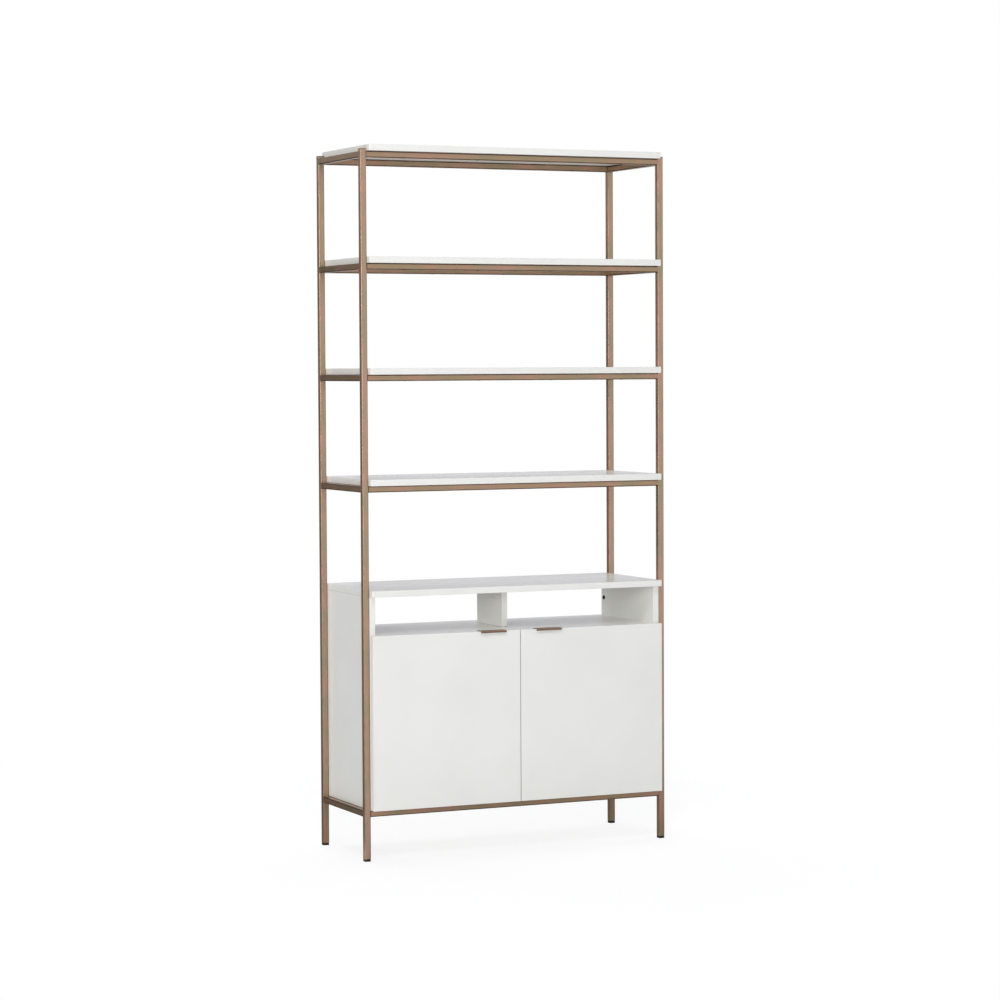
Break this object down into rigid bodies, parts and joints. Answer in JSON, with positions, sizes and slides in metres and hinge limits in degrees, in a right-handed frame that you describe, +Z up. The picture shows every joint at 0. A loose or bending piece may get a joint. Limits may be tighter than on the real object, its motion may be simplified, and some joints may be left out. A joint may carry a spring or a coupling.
{
  "type": "modular bookcase",
  "caption": "Tall open bookcase: square metal tube frame with gloss white shelves over a low cabinet with an open bay and hinged doors.",
  "frame": {"origin": "on the floor, under the middle of the whole object's box", "axes": "+X to the viewer's right along the shelves, +Y from the doors to the back, +Z up"},
  "size_m": [1, 0.387, 2.1125],
  "materials": {
    "frame_paint": "satin rose-bronze metallic powder coat on steel tube",
    "board_lacquer": "high-gloss white lacquer on fibreboard",
    "glide_plastic": "moulded black plastic",
    "hinge_steel": "nickel-plated pressed steel"
  },
  "bodies": {
    "frame": {"post_front_left": "frame_paint", "post_front_right": "frame_paint", "post_rear_left": "frame_paint", "post_rear_right": "frame_paint", "post_cap_front_left": "frame_paint", "post_cap_front_right": "frame_paint", "post_cap_rear_left": "frame_paint", "post_cap_rear_right": "frame_paint", "foot_glide_front_left": "glide_plastic", "foot_glide_front_right": "glide_plastic", "foot_glide_rear_left": "glide_plastic", "foot_glide_rear_right": "glide_plastic", "rail_base_front": "frame_paint", "rail_base_rear": "frame_paint", "rail_base_left": "frame_paint", "rail_base_right": "frame_paint", "rail_lower_front": "frame_paint", "rail_lower_rear": "frame_paint", "rail_lower_left": "frame_paint", "rail_lower_right": "frame_paint", "rail_middle_front": "frame_paint", "rail_middle_rear": "frame_paint", "rail_middle_left": "frame_paint", "rail_middle_right": "frame_paint", "rail_upper_front": "frame_paint", "rail_upper_rear": "frame_paint", "rail_upper_left": "frame_paint", "rail_upper_right": "frame_paint", "rail_top_front": "frame_paint", "rail_top_rear": "frame_paint", "rail_top_left": "frame_paint", "rail_top_right": "frame_paint", "top_board": "board_lacquer", "shelf_upper": "board_lacquer", "shelf_middle": "board_lacquer", "shelf_lower": "board_lacquer", "cabinet_top": "board_lacquer", "cabinet_side_left": "board_lacquer", "cabinet_side_right": "board_lacquer", "cabinet_bottom": "board_lacquer", "cabinet_deck": "board_lacquer", "cabinet_divider": "board_lacquer", "cabinet_back": "board_lacquer", "cabinet_inner_shelf": "board_lacquer", "hinge_arm_left_upper": "hinge_steel", "hinge_arm_left_lower": "hinge_steel", "hinge_arm_right_upper": "hinge_steel", "hinge_arm_right_lower": "hinge_steel"},
    "door_left": {"door_left": "board_lacquer", "door_pull_left": "frame_paint", "hinge_cup_left_upper": "hinge_steel", "hinge_cup_left_lower": "hinge_steel"},
    "hinge_link_left_upper": {"hinge_link_left_upper": "hinge_steel"},
    "hinge_link_left_lower": {"hinge_link_left_lower": "hinge_steel"},
    "door_right": {"door_right": "board_lacquer", "door_pull_right": "frame_paint", "hinge_cup_right_upper": "hinge_steel", "hinge_cup_right_lower": "hinge_steel"},
    "hinge_link_right_upper": {"hinge_link_right_upper": "hinge_steel"},
    "hinge_link_right_lower": {"hinge_link_right_lower": "hinge_steel"}
  },
  "joints": [
    {"name": "door_left_hinge", "type": "hinge", "parent": "frame", "child": "door_left", "pos_m": [-0.4735, -0.1745, 0.151], "axis": [0, 0, -1], "range_deg": [0, 110]},
    {"name": "link_left_upper_pivot", "type": "hinge", "parent": "frame", "child": "hinge_link_left_upper", "pos_m": [-0.448, -0.167, 0.5795], "axis": [0, 0, 1], "range_deg": [0, 28]},
    {"name": "link_left_lower_pivot", "type": "hinge", "parent": "frame", "child": "hinge_link_left_lower", "pos_m": [-0.448, -0.167, 0.241], "axis": [0, 0, 1], "range_deg": [0, 28]},
    {"name": "door_right_hinge", "type": "hinge", "parent": "frame", "child": "door_right", "pos_m": [0.4735, -0.1745, 0.151], "axis": [0, 0, 1], "range_deg": [0, 110]},
    {"name": "link_right_upper_pivot", "type": "hinge", "parent": "frame", "child": "hinge_link_right_upper", "pos_m": [0.448, -0.167, 0.5795], "axis": [0, 0, -1], "range_deg": [0, 28]},
    {"name": "link_right_lower_pivot", "type": "hinge", "parent": "frame", "child": "hinge_link_right_lower", "pos_m": [0.448, -0.167, 0.241], "axis": [0, 0, -1], "range_deg": [0, 28]}
  ],
  "couplings": [
    {"joint": "link_left_upper_pivot", "follows": "door_left_hinge", "ratio": 0.2545},
    {"joint": "link_left_lower_pivot", "follows": "door_left_hinge", "ratio": 0.2545},
    {"joint": "link_right_upper_pivot", "follows": "door_right_hinge", "ratio": 0.2545},
    {"joint": "link_right_lower_pivot", "follows": "door_right_hinge", "ratio": 0.2545}
  ]
}
